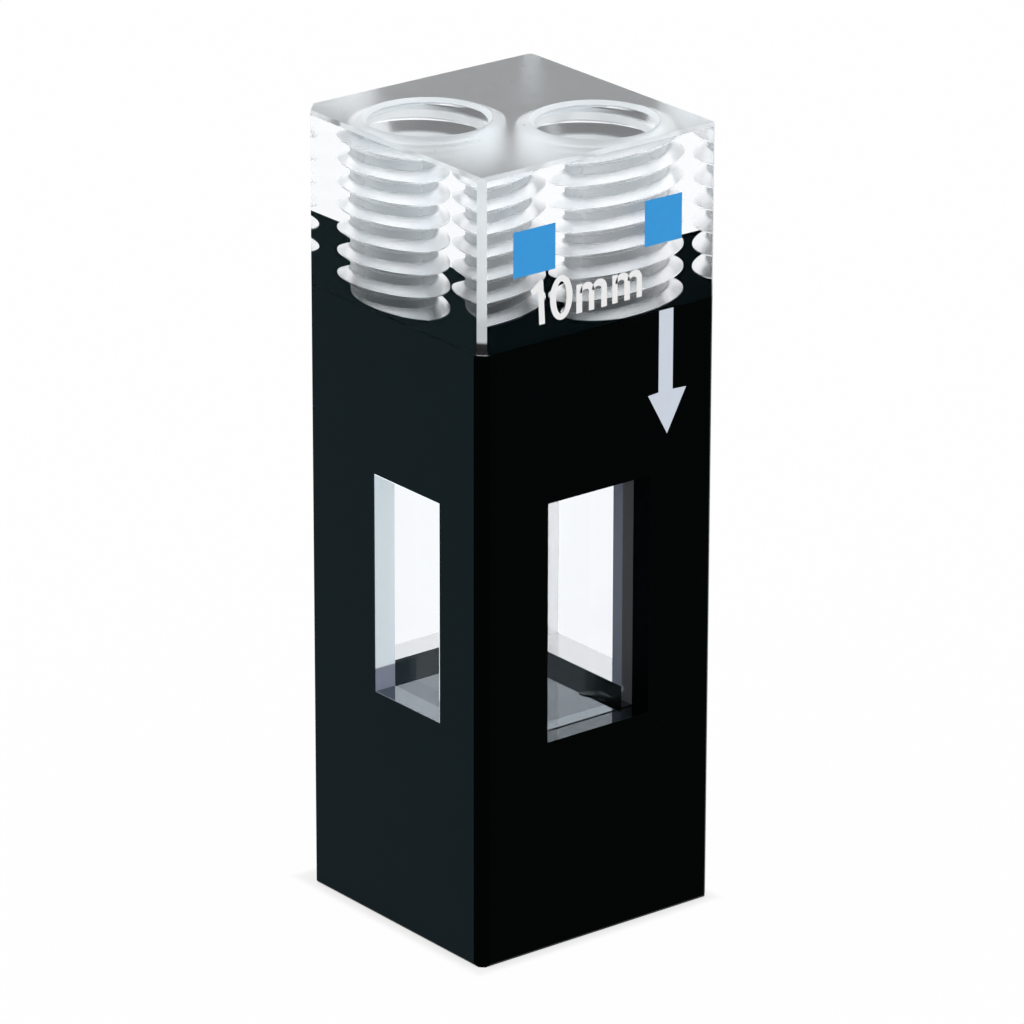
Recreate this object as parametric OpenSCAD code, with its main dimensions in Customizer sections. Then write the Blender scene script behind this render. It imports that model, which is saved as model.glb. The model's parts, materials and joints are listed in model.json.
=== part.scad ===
// Flow-through cell for fluorescence work: a clear quartz head with two tapped
// ports, fused on a black quartz body that holds the measuring chamber behind
// four clear windows. The marked front face looks along -Y. The origin is the
// middle of the underside and +Z runs up the cell. All sizes are in millimetres.

/* [Outer size] */
// Width of the square section, which is what a standard cell holder takes
cell_w = 12.5; // [12.3:0.05:12.6]
// Height of the black body
body_h = 27.4; // [26:0.1:38]
// Height of the clear head
head_h = 7.6; // [6:0.1:9]

/* [Upright edges] */
// Orientation cut on the left upright edge, from top to bottom
left_cut = 0.95; // [0.3:0.05:1.2]
// Bevel on the right upright edge
right_cut = 0.3; // [0.15:0.05:0.4]
// Bevel on the back upright edge
back_cut = 0.45; // [0.15:0.05:0.8]
// Bevel on the front upright edge of the black body
body_front_cut = 0.5; // [0.15:0.05:0.8]
// Bevel on the front upright edge of the clear head
head_front_cut = 0.3; // [0.15:0.05:0.8]
// Small arris along the edges of the top face and of the underside
arris = 0.15; // [0.05:0.01:0.2]

/* [Ports] */
// Tapping hole of the M6 thread, which is the crest diameter of the thread
tap_d = 5; // [4.9:0.02:5.1]
// Width of the countersink at the mouth of each port
mouth_d = 5.4; // [5.2:0.05:6.2]
// Sideways place of the inlet port
inlet_x = 2.4; // [2.3:0.05:2.6]
// Front to back place of the inlet port
inlet_y = -2.8; // [-2.85:0.05:-2.6]
// Sideways place of the outlet port
outlet_x = -2.85; // [-2.9:0.05:-2.6]
// Front to back place of the outlet port
outlet_y = 1.75; // [1.6:0.05:2.2]

/* [Chamber] */
// Height of the chamber floor, which the front window reaches as well
floor_z = 9.5; // [8:0.1:10]
// Height of the chamber ceiling, where all four windows end
ceiling_z = 20.2; // [18:0.1:22]

/* [Front and rear windows] */
// Width of the slot that the front and rear windows close
slot_w = 5.44; // [4.2:0.02:5.6]
// Depth at which the front window sits behind the front face
front_recess = 1.07; // [0.5:0.01:1.2]
// Thickness of the front window
front_pane_t = 1.25; // [1:0.05:1.5]
// Thickness of the rear window, which ends flush with the back
rear_pane_t = 2.45; // [1.25:0.05:3]
// Height of the lower edge of the rear window
rear_sill_z = 10.1; // [10.05:0.05:12]

/* [Left and right windows] */
// Width of the left window
left_pane_w = 4.5; // [3:0.1:5]
// Place of the middle of the left window, towards the back from the middle
left_pane_y = -1.2; // [-1.25:0.05:-0.2]
// Thickness of the left window, which ends flush with the side
left_pane_t = 2.3; // [1.25:0.05:2.4]
// Height of the lower edge of the left window
left_sill_z = 10.35; // [10.05:0.05:12]
// Width of the right window
right_pane_w = 5.8; // [4:0.1:5.9]
// Place of the middle of the right window, towards the back from the middle
right_pane_y = -0.4; // [-0.45:0.05:0]
// Thickness of the right window, which ends flush with the side
right_pane_t = 3.55; // [3.5:0.05:3.8]
// Height of the lower edge of the right window
right_sill_z = 10.1; // [10.05:0.05:12]

/* [Flow channels] */
// Bore of both flow channels
channel_d = 0.9; // [0.6:0.1:1]
// Sideways step from the inlet port to its channel, out into the corner wall
inlet_step_x = 1.45; // [1.4:0.01:1.46]
// Front to back step from the inlet port to its channel
inlet_step_y = -1.4; // [-1.41:0.01:-1.35]
// Depth below the chamber floor at which the inlet channel turns
inlet_turn_drop = 1.2; // [1:0.1:2]

/* [Hidden] */

$fn = 96;
cell_h = body_h + head_h;
half = cell_w / 2;
over = 1;                                    // how far a cutter runs past the face it opens
body_cuts = [body_front_cut, right_cut, back_cut, left_cut];
head_cuts = [head_front_cut, right_cut, back_cut, left_cut];

inlet = [inlet_x, inlet_y];
outlet = [outlet_x, outlet_y];
mouth_depth = (mouth_d - tap_d) / 2;         // the countersink is a 90 degree one

chamber_low = [-half + left_pane_t, -half + front_recess + front_pane_t, floor_z];
chamber_high = [half - right_pane_t, half - rear_pane_t, ceiling_z];
// Every pane runs from its outer face to the chamber, as a low and a high corner
front_pane = [[-slot_w / 2, -half + front_recess, floor_z], [slot_w / 2, chamber_low.y, ceiling_z]];
rear_pane = [[-slot_w / 2, chamber_high.y, rear_sill_z], [slot_w / 2, half, ceiling_z]];
left_pane = [[-half, left_pane_y - left_pane_w / 2, left_sill_z],
             [chamber_low.x, left_pane_y + left_pane_w / 2, ceiling_z]];
right_pane = [[chamber_high.x, right_pane_y - right_pane_w / 2, right_sill_z],
              [half, right_pane_y + right_pane_w / 2, ceiling_z]];
// Where the inlet channel turns, and the place in the chamber that its foot points at
inlet_turn = [inlet_x + inlet_step_x, inlet_y + inlet_step_y, floor_z - inlet_turn_drop];
inlet_aim = [chamber_high.x - 1.1, chamber_low.y + 1.7, floor_z + 0.6];

// Box given by its low and its high corner
module box_between(corners) {
    translate(corners[0]) cube(corners[1] - corners[0]);
}

// Round bore from one point to another
module bore_between(start, end, diameter) {
    run = end - start;
    level = norm([run.x, run.y]);
    translate(start)
        rotate([0, atan2(level, run.z), atan2(run.y, run.x)])
            cylinder(h = norm(run), d = diameter);
}

// Square outline with cut corners, given as [front, right, back, left]. The front
// edge is the one at -X and -Y, and the others follow it anticlockwise.
module cut_square(cuts) {
    corners = [[-1, -1], [1, -1], [1, 1], [-1, 1]];
    polygon([for (i = [0:3]) each let (
            corner = corners[i] * half,
            inward = corners[(i + 3) % 4] - corners[i],
            onward = corners[(i + 1) % 4] - corners[i]
        ) [corner + inward * cuts[i] / 2, corner + onward * cuts[i] / 2]]);
}

// Side outline from z = 0 up to a height, with an arris at the foot or at the top,
// drawn out along Y and turned about the upright axis
module arris_profile(height, at_top, turn) {
    edge_z = at_top ? height - arris : arris;
    end_z = at_top ? height : 0;
    far_z = at_top ? -over : height + over;
    rotate([90, 0, turn])
        linear_extrude(cell_w + 2 * over, center = true)
            polygon([[-half, far_z], [-half, edge_z], [-half + arris, end_z],
                     [half - arris, end_z], [half, edge_z], [half, far_z]]);
}

// Square block with cut upright edges and an arris round its foot or its top
module edged_block(height, cuts, at_top) {
    intersection() {
        linear_extrude(height) cut_square(cuts);
        arris_profile(height, at_top, 0);
        arris_profile(height, at_top, 90);
    }
}

// Tapping hole through the head, with its countersunk mouth
module port_hole(place) {
    translate([place.x, place.y, -over]) cylinder(h = head_h + 2 * over, d = tap_d);
    translate([place.x, place.y, head_h - mouth_depth])
        cylinder(h = mouth_depth + over, d1 = tap_d, d2 = mouth_d + 2 * over);
}

// Outlet channel, from the foot of its port straight down into the chamber
module outlet_channel() {
    bore_between([outlet_x, outlet_y, ceiling_z - over], [outlet_x, outlet_y, body_h + over], channel_d);
}

// Inlet channel, down the corner wall past the chamber and up into its floor. A
// ball at the turn rounds the corner, as the tip of the drill leaves it.
module inlet_channel() {
    bore_between(inlet_turn, [inlet_turn.x, inlet_turn.y, body_h + over], channel_d);
    translate(inlet_turn) sphere(d = channel_d);
    bore_between(inlet_turn, inlet_aim, channel_d);
}

// Clear head with both ports, fused on top of the black body
module port_block() {
    color([0.86, 0.89, 0.93, 0.45])
        translate([0, 0, body_h])
            difference() {
                edged_block(head_h, head_cuts, true);
                port_hole(inlet);
                port_hole(outlet);
            }
}

// Black body with the chamber, the four window openings and the flow channels
module black_body() {
    color([0.05, 0.06, 0.08])
        difference() {
            edged_block(body_h, body_cuts, false);
            box_between([chamber_low, chamber_high]);
            box_between([front_pane[0] - [0, front_recess + over, 0], front_pane[1] + [0, over, 0]]);
            box_between([rear_pane[0] - [0, over, 0], rear_pane[1] + [0, over, 0]]);
            box_between([left_pane[0] - [over, 0, 0], left_pane[1] + [over, 0, 0]]);
            box_between([right_pane[0] - [over, 0, 0], right_pane[1] + [over, 0, 0]]);
            outlet_channel();
            inlet_channel();
        }
}

// Clear windows, each fused into its opening
module window_pane(corners) {
    color([0.9, 0.94, 0.98, 0.35]) box_between(corners);
}
module front_window() { window_pane(front_pane); }
module rear_window() { window_pane(rear_pane); }
module left_window() { window_pane(left_pane); }
module right_window() { window_pane(right_pane); }

port_block();
black_body();
front_window();
rear_window();
left_window();
right_window();
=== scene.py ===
"""A flow-through cell for fluorescence work: a clear quartz head with two tapped
ports, fused on a black quartz body that holds a chamber behind four windows."""

import json
from math import cos, pi, radians, sin

import bmesh
import bpy
from mathutils import Matrix, Vector


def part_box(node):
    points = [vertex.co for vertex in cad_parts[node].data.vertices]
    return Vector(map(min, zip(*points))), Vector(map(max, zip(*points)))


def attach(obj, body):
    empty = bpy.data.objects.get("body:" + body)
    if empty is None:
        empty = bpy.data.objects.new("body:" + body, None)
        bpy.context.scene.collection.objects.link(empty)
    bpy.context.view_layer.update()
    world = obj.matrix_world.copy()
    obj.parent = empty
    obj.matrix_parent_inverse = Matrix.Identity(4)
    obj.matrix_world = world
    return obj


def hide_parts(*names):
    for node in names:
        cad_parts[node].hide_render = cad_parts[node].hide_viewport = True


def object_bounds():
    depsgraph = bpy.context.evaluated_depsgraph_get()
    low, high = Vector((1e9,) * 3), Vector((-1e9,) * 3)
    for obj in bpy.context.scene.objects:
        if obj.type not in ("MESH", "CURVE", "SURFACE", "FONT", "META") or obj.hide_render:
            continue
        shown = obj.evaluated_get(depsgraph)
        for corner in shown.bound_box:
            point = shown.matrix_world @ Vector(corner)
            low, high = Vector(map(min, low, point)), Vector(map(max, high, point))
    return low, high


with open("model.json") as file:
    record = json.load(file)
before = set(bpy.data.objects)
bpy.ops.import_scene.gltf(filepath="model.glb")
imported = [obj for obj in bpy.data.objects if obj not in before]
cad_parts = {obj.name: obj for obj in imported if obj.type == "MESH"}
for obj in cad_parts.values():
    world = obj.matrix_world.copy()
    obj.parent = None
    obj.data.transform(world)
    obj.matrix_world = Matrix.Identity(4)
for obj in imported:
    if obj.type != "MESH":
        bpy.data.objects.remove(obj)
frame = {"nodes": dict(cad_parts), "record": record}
cad_low, cad_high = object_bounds()
scene = bpy.context.scene
MM = 0.001


# ---- Camera -----------------------------------------------------------------
# A long lens stands low in front of the front edge, far enough away that the
# upright edges lean in only a little.

PICTURE_SIZE = 1024
CAMERA_AZIMUTH = radians(-38.289)
CAMERA_ELEVATION = radians(20.865)
CAMERA_ROLL = radians(0.115)
CAMERA_DISTANCE = 296.927 * MM
CAMERA_AIM = Vector((0, 0, 17.5)) * MM
AIM_RIGHT, AIM_UP = 0.234 * MM, -0.162 * MM
SENSOR_WIDTH = 36.0
FOCAL_IN_PIXELS = 7008.0
NEAREST_SEEN = 10 * MM

backward = Vector((sin(CAMERA_AZIMUTH) * cos(CAMERA_ELEVATION),
                   -cos(CAMERA_AZIMUTH) * cos(CAMERA_ELEVATION),
                   sin(CAMERA_ELEVATION)))
level_right = backward.cross(Vector((0, 0, -1))).normalized()
level_up = backward.cross(level_right)
camera_right = cos(CAMERA_ROLL) * level_right + sin(CAMERA_ROLL) * level_up
camera_up = cos(CAMERA_ROLL) * level_up - sin(CAMERA_ROLL) * level_right

camera = bpy.data.objects.new("camera", bpy.data.cameras.new("camera"))
camera.data.sensor_width = SENSOR_WIDTH
camera.data.lens = FOCAL_IN_PIXELS * SENSOR_WIDTH / PICTURE_SIZE
camera.data.clip_start = NEAREST_SEEN
camera.matrix_world = Matrix((camera_right, camera_up, backward)).transposed().to_4x4()
camera.location = (CAMERA_AIM + camera_right * AIM_RIGHT + camera_up * AIM_UP
                   + backward * CAMERA_DISTANCE)
scene.collection.objects.link(camera)
scene.camera = camera


# ---- Clear head -------------------------------------------------------------
# One block of clear fused quartz with polished sides, a fine ground top and
# ground bevels. Both ports are tapped M6 x 1 right through it by a diamond tool,
# which leaves the threads frosted. The block is fused on the black body.

# Polished skin. A texture is given by its scale and its detail.
QUARTZ_TINT = (0.985, 0.99, 1.0, 1)
QUARTZ_IOR = 1.458
INNER_SPECULAR = (0.0, 0.0, 0.0, 1)
HAZE_TEXTURE, HAZE = (900.0, 3.0), 0.012
FACE_BLOOM = (0.50, 0.86, 1.0, 1)
BLOOM, BLOOM_START, BLOOM_ROUGHNESS = 0.5, 0.03, 0.02

# Cut and ground skins
CUT_TINT = (0.955, 0.985, 1.0, 1)
CRACK_WHITE = (0.81, 0.86, 0.89, 1)
CRACK_ROUGHNESS = 0.7
GRIT_SCALE = 14000.0
GRIT_TEXTURE = (GRIT_SCALE, 4.0)
GRIT_DEPTH = 0.004 * MM
GRIT_BUMP, GRIT_ROUGHNESS, GRIT_SCATTER = 0.10, 0.1, 0.12
GROUND_ROUGHNESS, GROUND_SCATTER = 0.28, 0.20
CLOUD_TEXTURE, CLOUD_SCATTER = (2600.0, 3.0), 0.22
SPECK_TEXTURE, SPECK_LEVEL, SPECK_SCATTER = (4000.0, 0.0), 0.86, 0.5
SPECK_GREY = (0.30, 0.32, 0.34, 1)
BEVEL_SCATTER = 0.65
BEVEL_DARK, BEVEL_WHITE = 0.45 * MM, 0.62 * MM

# Form of the threads, outwards from the crests
PORTS = ("inlet_port", "outlet_port")
mounts = {mount["name"]: mount for mount in frame["record"]["mounts"]}
CREST_RADIUS = mounts["inlet_port"]["dims"]["r_mm"] * MM
ROOT_RADIUS = 3.27 * MM
MOUTH_RADIUS = 2.7 * MM
PITCH = 1.0 * MM
ROOT_FLAT, CREST_FLAT = 0.05 * MM, 0.33 * MM
UPPER_FLANK, LOWER_FLANK = 0.32 * MM, 0.30 * MM
FLANK_ROWS = 4
THREAD_START, THREAD_FULL = 0.15 * MM, 0.45 * MM
TURN_STEPS = 144
OVERRUN = 0.2 * MM
CONE_OVERLAP = 0.05 * MM

# Skin of the threads, with a painted glow and painted shade towards the joint
FLANK_ROUGHNESS, FLANK_SCATTER = 0.30, 0.04
CREST_ROUGHNESS, CREST_SCATTER = 0.50, 0.45
CREST_START, CREST_FADE = 0.03 * MM, 0.18 * MM
MOUTH_HEIGHT, MOUTH_FADE, MOUTH_RIM = 0.45 * MM, 0.06 * MM, 0.03 * MM
MOUTH_SCATTER = 0.85
PAINTED_GLOW_WHITE = (0.95, 0.97, 1.0, 1)
MOUTH_PAINTED_GLOW, FLANK_PAINTED_GLOW = 0.30, 0.14
CREST_PAINTED_GLOW_SHARE = 0.3
JOINT_PAINTED_SHADE = 0.30
PAINTED_SHADE_HEIGHT = 4.5 * MM

# Meshes
WELD = 0.001 * MM
FLAT_ANGLE = radians(0.5)
SHARP_ANGLE = radians(35)
LEVEL = 0.0001 * MM
UPWARD, SLANTED = 0.3, 0.5
FUSED = 0.01 * MM


class Value:
    """A colour, vector or number in a finish, with the operators used on it."""

    def __init__(self, finish, socket):
        self.finish, self.socket = finish, socket

    def output(self, name):
        return Value(self.finish, self.socket.node.outputs[name])

    def math(self, operation, *others):
        return self.finish.math(operation, self, *others)

    def __add__(self, other):
        return self.math("ADD", other)

    def __sub__(self, other):
        return self.math("SUBTRACT", other)

    def __rsub__(self, other):
        return self.finish.math("SUBTRACT", other, self)

    def __mul__(self, other):
        return self.math("MULTIPLY", other)

    def __gt__(self, other):
        return self.math("GREATER_THAN", other)

    def __lt__(self, other):
        return self.math("LESS_THAN", other)

    __radd__, __rmul__ = __add__, __mul__


class Finish:
    """Nodes of a material or of the world. node() adds one and gives back its first output."""

    def __init__(self, owner, output):
        self.owner, self.output = owner, output
        owner.use_nodes = True
        self.tree = owner.node_tree
        self.tree.nodes.clear()

    def node(self, kind, settings, inputs):
        node = self.tree.nodes.new(kind)
        for name, setting in settings.items():
            setattr(node, name, setting)
        for name, value in inputs.items():
            if isinstance(value, Value):
                self.tree.links.new(value.socket, node.inputs[name])
            else:
                node.inputs[name].default_value = value
        return Value(self, next((socket for socket in node.outputs if socket.enabled), None))

    def math(self, operation, *terms):
        return self.node("ShaderNodeMath", {"operation": operation}, dict(enumerate(terms)))

    def place(self):
        return self.node("ShaderNodeTexCoord", {}, {}).output("Object")

    def along(self, axis):
        split = self.node("ShaderNodeSeparateXYZ", {}, {"Vector": self.place()})
        return split.output(axis)

    def rise(self, value, start, end, low=0.0, high=1.0):
        """Goes smoothly from low to high while the value goes from start to end."""
        return self.node("ShaderNodeMapRange", {"interpolation_type": "SMOOTHSTEP"}, {
            "Value": value, "From Min": start, "From Max": end, "To Min": low, "To Max": high})

    def mix(self, share, first, second):
        return self.node("ShaderNodeMix", {"data_type": "RGBA"}, {0: share, 6: first, 7: second})

    def noise(self, scale, detail):
        return self.node("ShaderNodeTexNoise", {}, {
            "Vector": self.place(), "Scale": scale, "Detail": detail})

    def bump(self, height, strength, depth):
        return self.node("ShaderNodeBump", {}, {
            "Height": height, "Strength": strength, "Distance": depth})

    def principled(self, **sockets):
        return self.node("ShaderNodeBsdfPrincipled", {}, {
            name.replace("_", " "): value for name, value in sockets.items()})

    def blend(self, share, first, second):
        return self.node("ShaderNodeMixShader", {}, {0: share, 1: first, 2: second})

    def surface(self, shader):
        self.node(self.output, {}, {"Surface": shader})
        return self.owner


def material_finish(name):
    return Finish(bpy.data.materials.new(name), "ShaderNodeOutputMaterial")


def dimmed(colour, share):
    """The same colour with its light cut down to a share."""
    return tuple(channel * share for channel in colour[:3]) + (1,)


def polished_quartz():
    """Clear quartz, polished: light goes in with a faint blue bloom, and is mirrored inside."""
    finish = material_finish("polished_quartz")
    inward = finish.node("ShaderNodeBsdfRefraction", {}, {
        "Color": QUARTZ_TINT, "IOR": QUARTZ_IOR, "Roughness": 0.0})
    bloom = finish.node("ShaderNodeBsdfGlossy", {}, {
        "Color": FACE_BLOOM, "Roughness": BLOOM_ROUGHNESS})
    mirror = finish.node("ShaderNodeFresnel", {}, {"IOR": QUARTZ_IOR})
    share = (mirror - BLOOM_START) * BLOOM
    entry = finish.blend(share.math("MAXIMUM", 0.0), inward, bloom)
    glass = finish.principled(
        Base_Color=QUARTZ_TINT, Transmission_Weight=1.0, IOR=QUARTZ_IOR,
        Specular_Tint=INNER_SPECULAR, Roughness=finish.noise(*HAZE_TEXTURE) * HAZE)
    inside = finish.node("ShaderNodeNewGeometry", {}, {}).output("Backfacing")
    return finish.surface(finish.blend(inside, entry, glass))


def cut_quartz(finish, roughness, scatter, gritty=1.0, white=CRACK_WHITE, **more):
    """Quartz cut by grit: glass with a rough skin, whose fine cracks scatter some light."""
    grit = finish.noise(*GRIT_TEXTURE) * gritty
    normal = finish.bump(grit, GRIT_BUMP, GRIT_DEPTH)
    glass = finish.principled(
        Base_Color=CUT_TINT, Transmission_Weight=1.0, IOR=QUARTZ_IOR,
        Roughness=roughness + grit * GRIT_ROUGHNESS, Normal=normal, **more)
    cracks = finish.principled(Base_Color=white, Roughness=CRACK_ROUGHNESS, Normal=normal)
    share = scatter + (grit - 0.5 * gritty) * GRIT_SCATTER
    return finish.surface(finish.blend(share, glass, cracks))


def ground_quartz():
    """The lapped top face: an even fine grey, a little cloudy, with a few specks in it."""
    finish = material_finish("ground_quartz")
    cloud = finish.noise(*CLOUD_TEXTURE) - 0.5
    speck = finish.noise(*SPECK_TEXTURE) > SPECK_LEVEL
    scatter = GROUND_SCATTER + cloud * CLOUD_SCATTER + speck * SPECK_SCATTER
    white = finish.mix(speck, CRACK_WHITE, SPECK_GREY)
    return cut_quartz(finish, GROUND_ROUGHNESS, scatter, white=white)


def bevel_quartz():
    """The ground bevels, which are white but let the black show through just above the joint."""
    finish = material_finish("bevel_quartz")
    upper = finish.rise(finish.along("Z"), head_low.z + BEVEL_DARK, head_low.z + BEVEL_WHITE)
    return cut_quartz(finish, GROUND_ROUGHNESS, upper * BEVEL_SCATTER)


def thread_quartz():
    """The threads: crests left rough by the drill, finer flanks, and a rim at the mouth
    that is white with frosting and with painted glow.

    The glow is painted light, for light that is scattered many times inside the glass:
    full at the mouth, weaker on the crests than on the flanks. Towards the joint the
    glow fades out and the white of the cracks darkens, which is painted shade.
    """
    finish = material_finish("thread_quartz")
    level = finish.node("ShaderNodeVectorMath", {"operation": "MULTIPLY"}, {
        0: finish.place(), 1: (1, 1, 0)})
    near = [finish.node("ShaderNodeVectorMath", {"operation": "DISTANCE"}, {
        0: level, 1: mounts[name]["pos_m"][:2] + [0]}).output("Value") for name in PORTS]
    radius = near[0].math("MINIMUM", near[1])
    crest = finish.rise(radius, CREST_RADIUS + CREST_START, CREST_RADIUS + CREST_FADE, 1.0, 0.0)
    height = finish.along("Z")
    mouth_z = head_high.z - MOUTH_HEIGHT
    mouth = (finish.rise(height, mouth_z - MOUTH_FADE, mouth_z + MOUTH_FADE)
             * (radius < MOUTH_RADIUS + MOUTH_RIM))
    # Share of the height above the joint, which sets the painted shade towards the joint
    upper = finish.node("ShaderNodeMapRange", {}, {
        "Value": height, "From Min": head_low.z, "From Max": head_low.z + PAINTED_SHADE_HEIGHT})

    # Painted light: a glow on the flanks, less on the crests, none at the joint, full white at the
    # mouth
    flank_painted_glow = dimmed(PAINTED_GLOW_WHITE, FLANK_PAINTED_GLOW / MOUTH_PAINTED_GLOW)
    light = finish.mix(crest, flank_painted_glow, dimmed(flank_painted_glow, CREST_PAINTED_GLOW_SHARE))
    light = finish.mix(upper, (0, 0, 0, 1), light)
    light = finish.mix(mouth, light, PAINTED_GLOW_WHITE)
    # Painted shade: the white of the cracks is darker towards the joint
    white = finish.mix(upper, dimmed(CRACK_WHITE, JOINT_PAINTED_SHADE), CRACK_WHITE)
    roughness = FLANK_ROUGHNESS + crest * (CREST_ROUGHNESS - FLANK_ROUGHNESS)
    scatter = FLANK_SCATTER + crest * (CREST_SCATTER - FLANK_SCATTER)
    scatter = scatter + mouth * (MOUTH_SCATTER - scatter)
    return cut_quartz(finish, roughness, scatter, crest, white,
                      Emission_Color=light, Emission_Strength=MOUTH_PAINTED_GLOW)


def new_piece(name, shape):
    """Object from a finished bmesh."""
    mesh = bpy.data.meshes.new(name)
    shape.to_mesh(mesh)
    shape.free()
    piece = bpy.data.objects.new(name, mesh)
    scene.collection.objects.link(piece)
    return piece


def clean_copy(node, name, undrilled=False):
    """Copy of a CAD node's mesh with its flat faces whole, or of the block it was drilled from."""
    shape = bmesh.new()
    shape.from_mesh(frame["nodes"][node].data)
    bmesh.ops.remove_doubles(shape, verts=shape.verts, dist=WELD)
    if undrilled:
        hull = bmesh.ops.convex_hull(shape, input=shape.verts)
        inside = {part for part in hull["geom_interior"] + hull["geom_unused"]
                  if isinstance(part, bmesh.types.BMVert)}
        bmesh.ops.delete(shape, geom=list(inside), context="VERTS")
        outer = {part for part in hull["geom"] if isinstance(part, bmesh.types.BMFace)}
        spare = [face for face in shape.faces if face not in outer]
        bmesh.ops.delete(shape, geom=spare, context="FACES")
    bmesh.ops.dissolve_limit(
        shape, angle_limit=FLAT_ANGLE, verts=shape.verts, edges=shape.edges)
    piece = new_piece(name, shape)
    if piece.data.has_custom_normals:
        piece.data.attributes.remove(piece.data.attributes["custom_normal"])
    return piece


def smooth_step(share):
    share = min(1.0, max(0.0, share))
    return share * share * (3 - 2 * share)


def thread_profile():
    """Rows over one pitch: height above the row at the crest, and depth of cut from 0 to 1."""
    rows = [(0.0, 0.0)]
    root = PITCH - UPPER_FLANK - ROOT_FLAT / 2 - CREST_FLAT / 2
    for flank_row in range(FLANK_ROWS + 1):
        share = flank_row / FLANK_ROWS
        rows.append((root - ROOT_FLAT / 2 - LOWER_FLANK * (1 - share), share))
    for flank_row in range(FLANK_ROWS + 1):
        share = flank_row / FLANK_ROWS
        rows.append((root + ROOT_FLAT / 2 + UPPER_FLANK * share, 1 - share))
    return rows


def round_row(shape, centre, ring):
    """Row of points round a port's axis. The ring gives the radius and height of each."""
    return [shape.verts.new((centre.x + radius * cos(2 * pi * step / TURN_STEPS),
                             centre.y + radius * sin(2 * pi * step / TURN_STEPS), z))
            for step, (radius, z) in enumerate(ring)]


def tap(port):
    """Screw with the form of the thread. Its rows follow the thread, so each edge is crisp.

    Where a row has gone once round, it goes on in the row that starts one pitch higher.
    """
    bottom = head_low.z - OVERRUN - PITCH
    turns = round((head_high.z - head_low.z + 2 * OVERRUN) / PITCH + 0.5) + 1
    profile = thread_profile()
    shape = bmesh.new()
    rows = []
    for turn_number in range(turns):
        for rise, cut in profile:
            ring = []
            for step in range(TURN_STEPS):
                z = bottom + rise + (turn_number + step / TURN_STEPS) * PITCH
                below_top = head_high.z - z - THREAD_START
                share = cut * smooth_step(below_top / (THREAD_FULL - THREAD_START))
                ring.append((CREST_RADIUS + (ROOT_RADIUS - CREST_RADIUS) * share, z))
            rows.append(round_row(shape, port, ring))
    for number in range(len(rows) - 1):
        for step in range(TURN_STEPS):
            if step < TURN_STEPS - 1:
                corners = (rows[number][step], rows[number][step + 1],
                           rows[number + 1][step + 1], rows[number + 1][step])
            elif number + 1 + len(profile) < len(rows):
                corners = (rows[number][step], rows[number + len(profile)][0],
                           rows[number + 1 + len(profile)][0], rows[number + 1][step])
            else:
                continue
            shape.faces.new(corners).smooth = True
    top = rows[-1][-1].co.z
    open_edges = [edge for edge in shape.edges if edge.is_boundary]
    for level in (bottom - OVERRUN, top + OVERRUN):
        centre = shape.verts.new((port.x, port.y, level))
        for edge in open_edges:
            if (edge.verts[0].co.z < (bottom + top) / 2) == (level < bottom):
                shape.faces.new((edge.verts[0], edge.verts[1], centre))
    bmesh.ops.recalc_face_normals(shape, faces=shape.faces)
    return new_piece("tap", shape)


def countersink(port):
    """Cone that opens the mouth of a port."""
    cone_foot = head_high.z - (MOUTH_RADIUS - CREST_RADIUS) - CONE_OVERLAP
    shape = bmesh.new()
    rows = [round_row(shape, port, [(radius, z)] * TURN_STEPS)
            for radius, z in ((CREST_RADIUS - CONE_OVERLAP, cone_foot),
                              (MOUTH_RADIUS + OVERRUN, head_high.z + OVERRUN))]
    below, above = rows
    centres = [shape.verts.new((port.x, port.y, row[0].co.z)) for row in rows]
    for step in range(TURN_STEPS):
        after = (step + 1) % TURN_STEPS
        shape.faces.new((below[step], below[after], above[after], above[step])).smooth = True
    for step in range(TURN_STEPS):
        after = (step + 1) % TURN_STEPS
        shape.faces.new((below[after], below[step], centres[0]))
        shape.faces.new((above[step], above[after], centres[1]))
    return new_piece("countersink", shape)


def apply_modifiers(piece):
    """Bakes a piece's modifiers into its mesh."""
    bpy.context.view_layer.update()
    finished = bpy.data.meshes.new_from_object(
        piece.evaluated_get(bpy.context.evaluated_depsgraph_get()))
    finished.name = piece.name
    piece.modifiers.clear()
    piece.data = finished
    shape = bmesh.new()
    shape.from_mesh(finished)
    bmesh.ops.remove_doubles(shape, verts=shape.verts, dist=WELD)
    bmesh.ops.dissolve_degenerate(shape, edges=shape.edges, dist=WELD)
    shape.to_mesh(finished)
    shape.free()


head_low, head_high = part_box("port_block")
head = clean_copy("port_block", "clear_head", undrilled=True)
POLISHED, GROUND, THREAD, BEVEL = range(4)
for material in (polished_quartz(), ground_quartz(), thread_quartz(), bevel_quartz()):
    head.data.materials.append(material)
for name in PORTS:
    port = Vector(mounts[name]["pos_m"])
    for cutter in (tap(port), countersink(port)):
        for material in head.data.materials:
            cutter.data.materials.append(material)
        for face in cutter.data.polygons:
            face.material_index = THREAD
        cut = head.modifiers.new(cutter.name, "BOOLEAN")
        cut.operation, cut.solver, cut.object = "DIFFERENCE", "EXACT", cutter
        apply_modifiers(head)
        bpy.data.objects.remove(cutter)
for face in head.data.polygons:
    if face.material_index == POLISHED:
        if face.normal.z > UPWARD:
            face.material_index = GROUND
        elif min(abs(face.normal.x), abs(face.normal.y)) > SLANTED:
            face.material_index = BEVEL
for vertex in head.data.vertices:
    if abs(vertex.co.z - head_low.z) < LEVEL:
        vertex.co.z -= FUSED
for face in head.data.polygons:
    face.use_smooth = face.material_index == THREAD
head.data.set_sharp_from_angle(angle=SHARP_ANGLE)
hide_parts("port_block")
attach(head, "root")


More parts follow.
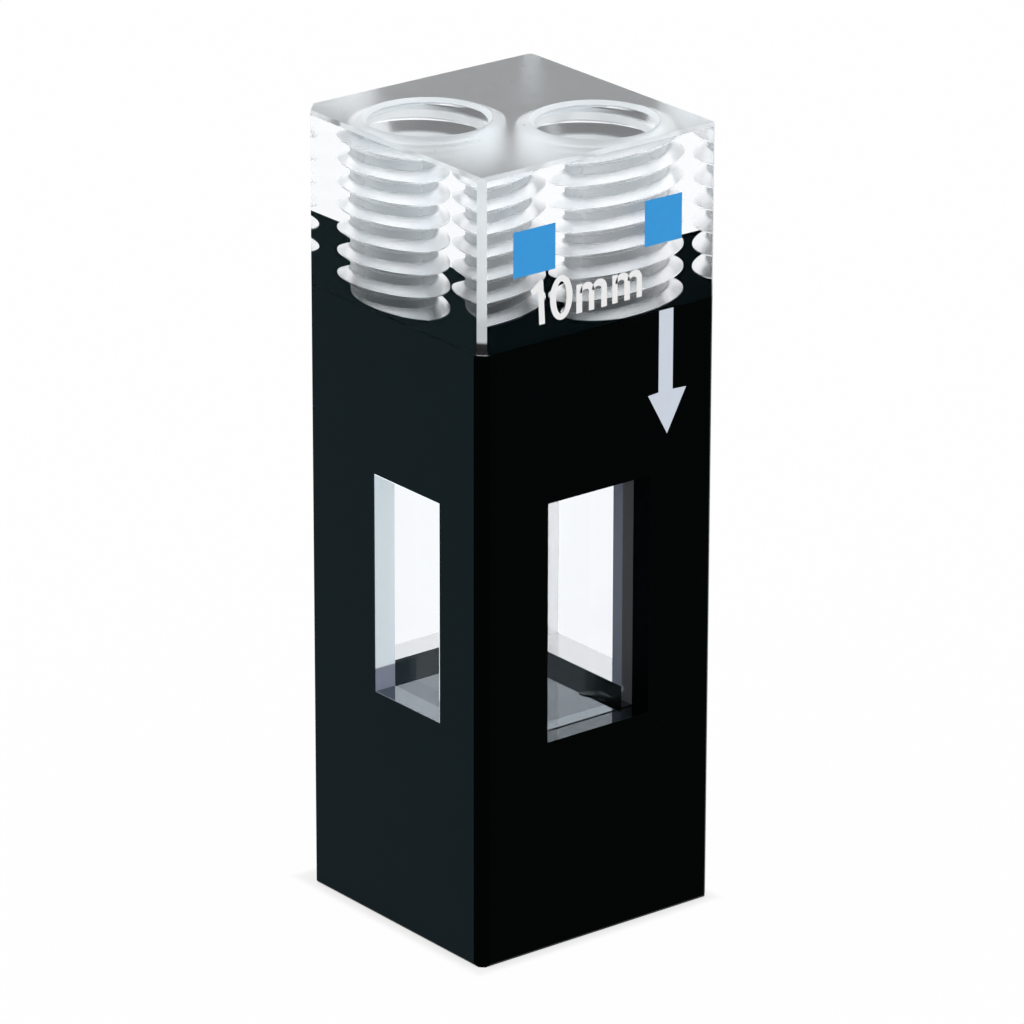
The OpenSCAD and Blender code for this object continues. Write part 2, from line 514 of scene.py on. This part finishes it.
# ---- Black body -------------------------------------------------------------
# One block of black fused quartz, with the chamber, openings and channels cut into
# it. The left and right sides are fine ground, and the front and back are polished.
# The lighter blue-black of the left and right sides is painted light, a lit copy of
# the deep black of the front and back.

# The first black is painted light: a lighter, lit copy of the deep black, for the left and right
# sides
PAINTED_LIT_BLACK = (0.0032, 0.0108, 0.0142, 1)
DEEP_BLACK = (0.0003, 0.0012, 0.0012, 1)
SIDE_ROUGHNESS, SIDE_GLOSS = 0.5, 0.04
FACE_ROUGHNESS, FACE_GLOSS = 0.25, 0.01
JOINT_ROUGHNESS, JOINT_GLOSS = 0.6, 0.0
BLACK_TEXTURE, CLOUDY_SHARE, CLOUDY_ROUGHNESS = (700.0, 5.0), 0.7, 0.1
MIRROR_TINT = (0.86, 0.94, 1.0, 1)
MIRROR_ROUGHNESS, BACKING_ROUGHNESS = 0.03, 0.4
LEDGE_SHINE, LEDGE_MOST = 2.0, 0.38
RECESS_SHARE, SEAM_SHARE, SEAM = 0.75, 0.1, 0.16 * MM
WALL_SHINE, WALL_MOST = 1.3, 0.3
# Painted light on the chamber wall between the front and the right window
PAINTED_LIGHT_WALL = (0.30, 0.32, 0.40, 1)
PAINTED_LIGHT_MARGIN = 0.1 * MM
SKIN = 0.6 * MM
ROOM_MARGIN = 1.0 * MM
SQUARE_ON = 0.9


def black_quartz(name, colour, roughness, gloss):
    """Black quartz, which is cloudy in the colour and in the polish."""
    finish = material_finish(name)
    cloud = finish.noise(*BLACK_TEXTURE)
    return finish.surface(finish.principled(
        Base_Color=finish.mix(cloud, dimmed(colour, CLOUDY_SHARE), colour),
        Roughness=roughness + cloud * CLOUDY_ROUGHNESS, Specular_IOR_Level=gloss,
        IOR=QUARTZ_IOR))


def black_mirror(finish, colour, strength, most, share):
    """Black quartz with a full polish, which mirrors the windows across the chamber."""
    black = finish.principled(
        Base_Color=colour, Roughness=BACKING_ROUGHNESS, Specular_IOR_Level=0.0)
    shine = finish.node("ShaderNodeBsdfGlossy", {}, {
        "Color": MIRROR_TINT, "Roughness": MIRROR_ROUGHNESS})
    mirror = finish.node("ShaderNodeFresnel", {}, {"IOR": QUARTZ_IOR}) * strength
    return finish.surface(finish.blend(mirror.math("MINIMUM", most) * share, black, shine))


def ledge_mirror():
    """The chamber floor and the sills, which are duller in the recess in front of the pane."""
    finish = material_finish("black_ledge")
    pane_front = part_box("front_window")[0].y
    depth = finish.along("Y")
    share = (RECESS_SHARE + (depth > pane_front - SEAM) * (SEAM_SHARE - RECESS_SHARE)
             + (depth > pane_front) * (1 - SEAM_SHARE))
    return black_mirror(finish, DEEP_BLACK, LEDGE_SHINE, LEDGE_MOST, share)


def wall_mirror():
    """The chamber walls, with a pale grey patch of painted light between the front and the right
    window.
    """
    finish = material_finish("black_wall")
    pane_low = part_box("right_window")[0]
    front_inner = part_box("front_window")[1].y
    depth = finish.along("Y")
    # Painted light: the wall between the front and the right window is given a pale grey
    painted_light_patch = ((finish.along("X") > pane_low.x - PAINTED_LIGHT_MARGIN) * (finish.along("Z") > pane_low.z)
            * (depth < pane_low.y) * (depth > front_inner))
    return black_mirror(finish, finish.mix(painted_light_patch, DEEP_BLACK, PAINTED_LIGHT_WALL), WALL_SHINE, WALL_MOST, 1.0)


body = clean_copy("black_body", "black_block")
PAINTED_LIT_SIDE, FACE, JOINT, LEDGE, WALL = range(5)
for material in (black_quartz("black_ground", PAINTED_LIT_BLACK, SIDE_ROUGHNESS, SIDE_GLOSS),
                 black_quartz("black_polished", DEEP_BLACK, FACE_ROUGHNESS, FACE_GLOSS),
                 black_quartz("black_joint", DEEP_BLACK, JOINT_ROUGHNESS, JOINT_GLOSS),
                 ledge_mirror(), wall_mirror()):
    body.data.materials.append(material)
body_low, body_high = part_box("black_body")
for face in body.data.polygons:
    inside = max(abs(face.center.x), abs(face.center.y)) < body_high.x - SKIN
    if inside and face.center.z > body_high.z - ROOM_MARGIN:
        face.material_index = JOINT
    elif inside and face.center.z > body_low.z + ROOM_MARGIN:
        face.material_index = LEDGE if face.normal.z > SQUARE_ON else WALL
    else:
        # The left and right sides take the painted lit black
        face.material_index = PAINTED_LIT_SIDE if abs(face.normal.x) > SQUARE_ON else FACE
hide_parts("black_body")
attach(body, "root")


# ---- Windows ----------------------------------------------------------------
# Four flat panes of clear quartz, polished on both faces and ground at the ends.
# Each is fused into its opening, apart from a thin film of air along the ends
# that stay open to view.

FILM = -0.01 * MM
PANE_ARRIS = 0.045 * MM
END_SCATTER = 0.22
END_TEXTURE = (GRIT_SCALE, 3.0)
END_ROUGHNESS, GRAIN_ROUGHNESS, GRAIN_SCATTER = 0.04, 0.04, 0.1
END_FOOT, FOOT_FADE = 1.03 * MM, 0.05 * MM
# Painted light and painted shade on the ends of the left pane: a glow and white above the foot, a
# dim glow and a darker colour below it
END_PAINTED_GLOW = 0.55
END_PAINTED_SHADE = (0.62, 0.66, 0.80, 1)
END_PAINTED_LIGHT = (0.84, 0.94, 1.0, 1)
END_PAINTED_DIM = (0.14, 0.15, 0.20, 1)


def ground_end():
    """End face of a pane, ground but not polished, which is paler and duller than the panes."""
    finish = material_finish("ground_end")
    grain = finish.noise(*END_TEXTURE)
    glass = finish.principled(
        Base_Color=CUT_TINT, Transmission_Weight=1.0, IOR=QUARTZ_IOR,
        Specular_Tint=INNER_SPECULAR, Roughness=END_ROUGHNESS + grain * GRAIN_ROUGHNESS)
    cracks = finish.principled(Base_Color=CRACK_WHITE, Roughness=CRACK_ROUGHNESS)
    share = END_SCATTER + (grain - 0.5) * GRAIN_SCATTER
    return finish.surface(finish.blend(share, glass, cracks))


def left_end_painted_light():
    """Ends of the left pane, rough: painted light above the foot, for the light that the pane takes
    in, and painted shade below it.
    """
    finish = material_finish("ground_left_end")
    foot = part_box("left_window")[0].z + END_FOOT
    # Above the foot: painted light; below it: painted shade
    upper = finish.rise(finish.along("Z"), foot - FOOT_FADE, foot + FOOT_FADE)
    return finish.surface(finish.principled(
        Base_Color=finish.mix(upper, END_PAINTED_SHADE, CRACK_WHITE), Roughness=CRACK_ROUGHNESS,
        Emission_Color=finish.mix(upper, END_PAINTED_DIM, END_PAINTED_LIGHT), Emission_Strength=END_PAINTED_GLOW))


def window(node, name, nudges, end, arris=0.0):
    """Pane of a window. Each nudge moves one of its faces out (fused) or in (film of air)."""
    piece = clean_copy(node, name)
    low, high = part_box(node)
    for vertex in piece.data.vertices:
        for axis in range(3):
            side = "+" if vertex.co[axis] > (low[axis] + high[axis]) / 2 else "-"
            nudge = nudges.get(side + "xyz"[axis], 0.0)
            vertex.co[axis] += nudge if side == "+" else -nudge
    piece.data.materials.append(bpy.data.materials["polished_quartz"])
    piece.data.materials.append(end)
    thin = min(range(2), key=lambda axis: high[axis] - low[axis])
    if arris:
        outer = 1 if low[thin] + high[thin] > 0 else -1
        shape = bmesh.new()
        shape.from_mesh(piece.data)
        rim = {edge for face in shape.faces if face.normal[thin] * outer > SQUARE_ON
               for edge in face.edges}
        bmesh.ops.bevel(shape, geom=list(rim), offset=arris, segments=1, affect="EDGES")
        shape.to_mesh(piece.data)
        shape.free()
    for face in piece.data.polygons:
        face.material_index = 0 if abs(face.normal[thin]) > SQUARE_ON else 1
    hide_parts(node)
    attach(piece, "root")


end = ground_end()
window("front_window", "front_pane", {"-x": FUSED, "+x": FILM, "-z": FUSED, "+z": FUSED}, end)
window("left_window", "left_pane", {"-y": FUSED, "+y": FILM, "-z": FUSED, "+z": FUSED},
       left_end_painted_light(), PANE_ARRIS)
window("right_window", "right_pane", {"-y": FUSED, "+y": FILM, "-z": FILM, "+z": FUSED}, end)
window("rear_window", "rear_pane", {"-x": FUSED, "+x": FILM, "-z": FILM, "+z": FUSED}, end)


# ---- Marks ------------------------------------------------------------------
# Printed on the front face: two blue squares and the light path of 10 mm on the
# clear head, and an arrow down from the inlet on the black. The ink lies proud.

INK = 0.008 * MM
INK_GAP = 0.0005 * MM
INK_WELD = 0.000001 * MM
INK_TEXTURE, INK_BUMP = (2500.0, 4.0), 0.2
INK_ROUGHNESS, CLOUD_ROUGHNESS = 0.6, 0.1
WHITE_INK, WHITE_THINNING = (0.93, 0.93, 0.93, 1), 0.04
GREY_INK, GREY_THINNING = (0.67, 0.73, 0.83, 1), 0.06
BLUE_INK, BLUE_THINNING = (0.020, 0.345, 0.81, 1), 0.15

# Outlines on the front face, as x and z in millimetres
SQUARES = (((-4.60, 30.42), (-2.41, 30.42), (-2.41, 32.40), (-4.60, 32.40)),
           ((2.30, 30.35), (4.28, 30.35), (4.28, 32.35), (2.30, 32.35)))
ONE = ((-3.24, 28.15), (-2.94, 28.15), (-3.04, 30.00), (-3.08, 30.09), (-3.20, 30.09),
       (-3.70, 29.73), (-3.60, 29.50), (-3.30, 29.66))
NOUGHT_CENTRE, NOUGHT_OUTER, NOUGHT_INNER = (-2.09, 29.10), (0.588, 0.965), (0.275, 0.70)
NOUGHT_STEPS = 48
FIRST_M_STEMS, FIRST_M_FOOT = ((-1.295, -0.99), (-0.636, -0.355), (0.018, 0.318)), 28.22
SECOND_M_STEMS, SECOND_M_FOOT = ((0.60, 0.88), (1.236, 1.532), (1.895, 2.177)), 28.24
M_TOP, M_CROWN, M_ARCH, M_SHOULDER, M_DIP = 29.49, 29.20, 0.42, 0.12, 0.02
ARCH_STEPS = 16
ARROW = ((3.12, 27.40), (3.12, 23.80), (2.56, 23.76), (3.60, 21.89), (4.61, 23.76),
         (3.88, 23.80), (3.88, 27.40))


def ink(name, colour, thinning):
    """Printed ink, which is a little cloudy where the film is thinner."""
    finish = material_finish(name)
    cloud = finish.noise(*INK_TEXTURE)
    return finish.surface(finish.principled(
        Base_Color=finish.mix(cloud, dimmed(colour, 1 - thinning), colour),
        Roughness=INK_ROUGHNESS + cloud * CLOUD_ROUGHNESS,
        Normal=finish.bump(cloud, INK_BUMP, INK)))


def printed(name, outlines, material):
    """Film of ink on the front face. Each outline is a closed loop."""
    shape = bmesh.new()
    front = cad_low[1] - INK_GAP
    for outline in outlines:
        back, top = [[shape.verts.new((x * MM, front - lift, z * MM)) for x, z in outline]
                     for lift in (0, INK)]
        shape.faces.new(back)
        shape.faces.new(reversed(top))
        for step in range(len(outline)):
            after = (step + 1) % len(outline)
            shape.faces.new((back[step], top[step], top[after], back[after]))
    bmesh.ops.remove_doubles(shape, verts=shape.verts, dist=INK_WELD)
    bmesh.ops.recalc_face_normals(shape, faces=shape.faces)
    piece = new_piece(name, shape)
    piece.data.materials.append(material)
    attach(piece, "root")


def strip(first, second):
    """Outlines of the quads between two lines of points."""
    return [(first[step], first[step + 1], second[step + 1], second[step])
            for step in range(len(first) - 1)]


def oval(centre, size):
    """Closed line of points round an oval, given by its half width and height."""
    turns = [2 * pi * step / NOUGHT_STEPS for step in range(NOUGHT_STEPS + 1)]
    return [(centre[0] + size[0] * cos(turn), centre[1] + size[1] * sin(turn)) for turn in turns]


def arch(left, right, spring, crown):
    """Points along a round arch, which springs at one height and is crowned at another."""
    shares = [step / ARCH_STEPS for step in range(ARCH_STEPS + 1)]
    return [(left + (right - left) * (0.5 - 0.5 * cos(pi * share)),
             spring + (crown - spring) * sin(pi * share)) for share in shares]


def letter_m(stems, foot):
    """Outlines of an m: three stems, given by their sides, joined by two round arches."""
    spring = M_TOP - M_ARCH
    outlines = [((left, foot), (right, foot), (right, spring), (left, spring))
                for left, right in stems]
    left, right = stems[0]
    tip = M_TOP - M_DIP
    outlines.append(((left, spring), (right, spring), (right, tip), (left, tip)))
    for (_, inner_left), (inner_right, outer_right) in zip(stems, stems[1:]):
        outlines += strip(arch(inner_left - M_SHOULDER, outer_right, spring, M_TOP),
                          arch(inner_left, inner_right, spring, M_CROWN))
    return outlines


blue = ink("blue_ink", BLUE_INK, BLUE_THINNING)
for number, outline in enumerate(SQUARES):
    printed("square_%d" % (number + 1), [outline], blue)
white = ink("white_ink", WHITE_INK, WHITE_THINNING)
printed("mark_one", [ONE], white)
printed("mark_nought", strip(oval(NOUGHT_CENTRE, NOUGHT_OUTER), oval(NOUGHT_CENTRE, NOUGHT_INNER)),
        white)
printed("arrow", [ARROW], ink("grey_ink", GREY_INK, GREY_THINNING))
printed("mark_m1", letter_m(FIRST_M_STEMS, FIRST_M_FOOT), white)
printed("mark_m2", letter_m(SECOND_M_STEMS, SECOND_M_FOOT), white)


# ---- Floor and light --------------------------------------------------------
# The cell stands on white paper under an even white sky. What is seen of the
# paper, straight or through the glass, is white apart from a faint shadow round
# the foot of the cell, which is partly the paper's own shadow and partly painted
# shadow.

FLOOR_HALF = 0.6
FLOOR_DROP = 0.01 * MM
PAPER = (0.8, 0.8, 0.8, 1)
PAPER_TEXTURE, PAPER_ROUGHNESS, FIBRE_ROUGHNESS = (400.0, 3.0), 0.85, 0.1
WHITE = (1, 1, 1, 1)
SEEN_WHITE = 0.98
PAINTED_SHADOW_WHITE = 0.72
PAINTED_SHADOW_WIDTH = 0.6 * MM

floor_mesh = bpy.data.meshes.new("floor")
floor_mesh.from_pydata([(x * FLOOR_HALF, y * FLOOR_HALF, -FLOOR_DROP) for x, y in
                        ((-1, -1), (1, -1), (1, 1), (-1, 1))], [], [(0, 1, 2, 3)])
floor = bpy.data.objects.new("floor", floor_mesh)
scene.collection.objects.link(floor)
finish = material_finish("floor_paper")
paper = finish.principled(
    Base_Color=PAPER,
    Roughness=PAPER_ROUGHNESS + finish.noise(*PAPER_TEXTURE) * FIBRE_ROUGHNESS)
glow = finish.node("ShaderNodeEmission", {}, {"Color": WHITE, "Strength": 1.0})
path = finish.node("ShaderNodeLightPath", {}, {})
seen = (path.output("Is Camera Ray") + path.output("Is Glossy Ray")
        + path.output("Is Transmission Ray"))
aside = finish.along("X").math("ABSOLUTE").math("MAXIMUM", finish.along("Y").math("ABSOLUTE"))
# Painted shadow: less white is added in a band round the foot, so the paper looks darker there
white_share_with_painted_shadow = finish.rise(aside, cad_high[0], cad_high[0] + PAINTED_SHADOW_WIDTH, PAINTED_SHADOW_WHITE, SEEN_WHITE)
share = seen.math("MINIMUM", 1.0) * white_share_with_painted_shadow
floor_mesh.materials.append(finish.surface(finish.blend(share, paper, glow)))

sky = Finish(bpy.data.worlds.new("studio"), "ShaderNodeOutputWorld")
scene.world = sky.surface(sky.node("ShaderNodeBackground", {}, {"Color": WHITE, "Strength": 1.0}))

scene.view_settings.view_transform = "Standard"
scene.cycles.max_bounces = 24
scene.cycles.transmission_bounces = 24
scene.cycles.glossy_bounces = 8
